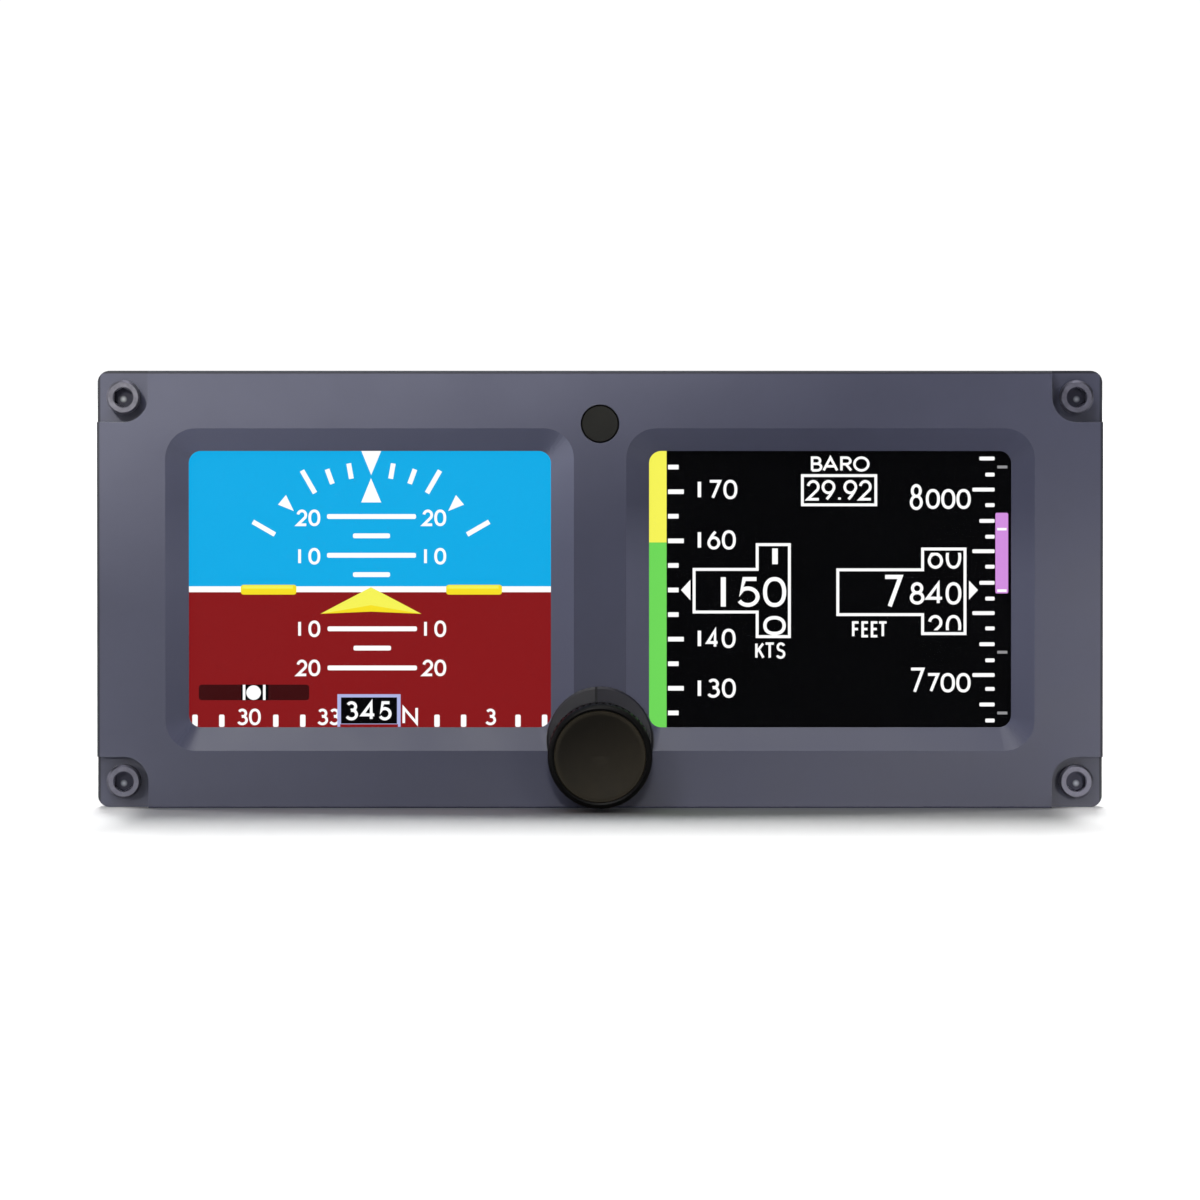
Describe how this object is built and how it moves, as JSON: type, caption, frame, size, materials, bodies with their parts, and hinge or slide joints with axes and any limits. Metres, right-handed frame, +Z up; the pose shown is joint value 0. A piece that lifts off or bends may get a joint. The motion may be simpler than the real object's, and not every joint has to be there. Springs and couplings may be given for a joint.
{
  "type": "attitude indicator",
  "caption": "Panel-mounted electronic standby attitude indicator: wide bezel with side-by-side displays, push-turn knob, shallow case, rear air ports and plug-in battery.",
  "frame": {"origin": "centre of the bezel's back face, where the aircraft panel's front surface lies", "axes": "+X to the right as the pilot sees the displays, +Z up, +Y into the panel away from the pilot"},
  "size_m": [0.1396, 0.1347, 0.0606],
  "materials": {
    "bezel_grey": "satin grey with a slight violet cast, fine texture",
    "case_black": "fine-textured matt black coating",
    "fastener_steel": "dull passivated steel",
    "window_glass": "clear glass with an anti-reflection coat",
    "display_cell": "dark polarising film over glass",
    "backlight_white": "white moulded frame",
    "gasket_rubber": "black sponge rubber",
    "sheet_aluminium": "plain sheet, as rolled",
    "ribbon_amber": "amber film",
    "light_pipe": "smoke-tinted clear plastic",
    "chip_black": "moulded black",
    "knob_black": "soft satin black with a brown cast",
    "knob_disc": "smooth satin black",
    "machined_aluminium": "turned",
    "shaft_steel": "turned and polished",
    "bronze": "sintered bronze",
    "encoder_body": "moulded dark",
    "spring_steel": "bright sprung sheet",
    "circuit_board": "green solder mask",
    "board_parts": "moulded parts",
    "connector_black": "glass-filled moulding",
    "connector_shell": "yellow-passivated zinc plate",
    "gold_pins": "gold plate",
    "port_anodised": "blue anodised",
    "hose_rubber": "smooth black rubber",
    "sensor_can": "plain can",
    "cell_sleeve": "shrink sleeve",
    "battery_plastic": "moulded case"
  },
  "bodies": {
    "root": {"bezel": "bezel_grey", "panel_screws": "fastener_steel", "display_window_left": "window_glass", "display_window_right": "window_glass", "window_gaskets": "gasket_rubber", "lcd_panel_left": "display_cell", "lcd_panel_right": "display_cell", "backlight_units": "backlight_white", "display_bracket": "sheet_aluminium", "bracket_screws": "fastener_steel", "display_ribbons": "ribbon_amber", "light_pipe": "light_pipe", "light_sensor": "chip_black", "shaft_bushing": "bronze", "shaft_seal": "gasket_rubber", "encoder_housing": "encoder_body", "push_dome": "spring_steel", "encoder_base": "encoder_body", "chassis_tray": "case_black", "top_cover": "case_black", "bezel_screws": "fastener_steel", "cover_screws": "fastener_steel", "rear_plate_screws": "fastener_steel", "rear_plate": "case_black", "port_fittings": "port_anodised", "port_seals": "gasket_rubber", "port_nuts": "machined_aluminium", "air_hoses": "hose_rubber", "pressure_transducers": "sensor_can", "connector_shell": "connector_shell", "connector_insulator": "connector_black", "connector_pins": "gold_pins", "connector_screwlocks": "fastener_steel", "display_board": "circuit_board", "board_standoffs": "machined_aluminium", "main_board": "circuit_board", "board_screws": "fastener_steel", "board_connectors": "connector_black", "main_board_chips": "chip_black", "power_board": "circuit_board", "power_board_parts": "board_parts", "sensor_stack_posts": "machined_aluminium", "sensor_board": "circuit_board", "inertial_sensor": "machined_aluminium", "battery_bay": "sheet_aluminium", "battery_socket": "connector_black"},
    "push_plunger": {"push_plunger": "backlight_white"},
    "knob": {"knob_cap": "knob_black", "knob_face": "knob_disc", "knob_hub": "machined_aluminium", "knob_set_screws": "fastener_steel", "knob_shaft": "shaft_steel", "shaft_clip": "spring_steel"},
    "encoder_rotor": {"encoder_rotor": "bronze"},
    "battery_pack": {"battery_case": "battery_plastic", "battery_cells": "cell_sleeve", "battery_terminals": "gold_pins", "battery_faceplate": "case_black"},
    "thumbscrew_left": {"thumbscrew_left": "fastener_steel"},
    "thumbscrew_right": {"thumbscrew_right": "fastener_steel"}
  },
  "joints": [
    {"name": "knob_push", "type": "slide", "parent": "root", "child": "push_plunger", "axis": [0, 1, 0], "range_m": [0, 0.0005], "stiffness_N_per_m": 4000, "springref_m": -0.0005, "deforming": ["push_dome"]},
    {"name": "knob_turn", "type": "hinge", "parent": "push_plunger", "child": "knob", "pos_m": [0, 0, -0.0226], "axis": [0, 1, 0], "continuous": true},
    {"name": "encoder_rotor_turn", "type": "hinge", "parent": "root", "child": "encoder_rotor", "pos_m": [0, 0.0118, -0.0226], "axis": [0, 1, 0], "continuous": true},
    {"name": "battery_slide", "type": "slide", "parent": "root", "child": "battery_pack", "axis": [0, 1, 0], "range_m": [0, 0.08]},
    {"name": "thumbscrew_left_turn", "type": "hinge", "parent": "battery_pack", "child": "thumbscrew_left", "pos_m": [-0.051, 0.105, 0.0083], "axis": [0, 1, 0], "continuous": true},
    {"name": "thumbscrew_right_turn", "type": "hinge", "parent": "battery_pack", "child": "thumbscrew_right", "pos_m": [-0.009, 0.105, 0.0083], "axis": [0, 1, 0], "continuous": true}
  ],
  "couplings": [
    {"joint": "encoder_rotor_turn", "follows": "knob_turn", "ratio": 1}
  ]
}
